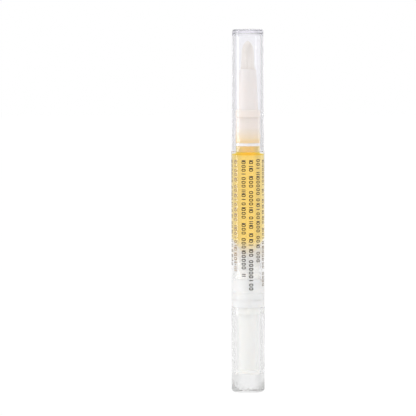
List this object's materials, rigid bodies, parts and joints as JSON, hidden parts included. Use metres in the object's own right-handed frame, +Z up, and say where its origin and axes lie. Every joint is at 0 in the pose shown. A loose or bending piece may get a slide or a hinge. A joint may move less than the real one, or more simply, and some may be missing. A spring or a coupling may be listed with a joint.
{
  "type": "nail oil pen",
  "caption": "Clear twist-up nail oil pen: a pull-off cap over a brush on a white cone, an oil-filled barrel with a screw-driven piston, and a clear twist knob.",
  "frame": {"origin": "middle of the knob's flat foot, on the pen's axis", "axes": "+Z up the pen from the knob's foot to the cap's top, +X to the right in the picture, -Y towards its viewer"},
  "size_m": [0.012, 0.012, 0.132],
  "materials": {
    "clear_plastic": "polished",
    "milky_plastic": "satin",
    "bristle": "matte",
    "seal_rubber": "matte",
    "oil": "gloss",
    "piston_plastic": "satin",
    "white_plastic": "satin"
  },
  "bodies": {
    "barrel": {"barrel": "clear_plastic", "brush_holder": "milky_plastic", "brush_tuft": "bristle", "feed_pipe": "milky_plastic", "pipe_joint": "milky_plastic", "plug_seal_ring": "seal_rubber", "oil_neck": "oil", "oil_fill": "oil", "drive_nut": "white_plastic", "ratchet_ring": "white_plastic"},
    "cap": {"cap_shell": "clear_plastic"},
    "knob": {"knob_shell": "clear_plastic", "drive_sleeve": "white_plastic", "click_ring": "white_plastic"},
    "spindle": {"spindle": "white_plastic"},
    "piston": {"piston": "piston_plastic"}
  },
  "joints": [
    {"name": "cap_pull", "type": "slide", "parent": "barrel", "child": "cap", "axis": [0, 0, 1], "range_m": [0, 0.045]},
    {"name": "knob_twist", "type": "hinge", "parent": "barrel", "child": "knob", "pos_m": [0, 0, 0.0311], "axis": [0, 0, 1], "range_deg": [0, 3960], "deforming": ["click_ring"]},
    {"name": "spindle_slide", "type": "slide", "parent": "knob", "child": "spindle", "axis": [0, 0, 1], "range_m": [0, 0.0276]},
    {"name": "piston_slide", "type": "slide", "parent": "barrel", "child": "piston", "axis": [0, 0, 1], "range_m": [0, 0.0276], "deforming": ["oil_fill"]}
  ],
  "couplings": [
    {"joint": "spindle_slide", "follows": "knob_twist", "m_per_rad": 0.00039789},
    {"joint": "piston_slide", "follows": "knob_twist", "m_per_rad": 0.00039789}
  ]
}
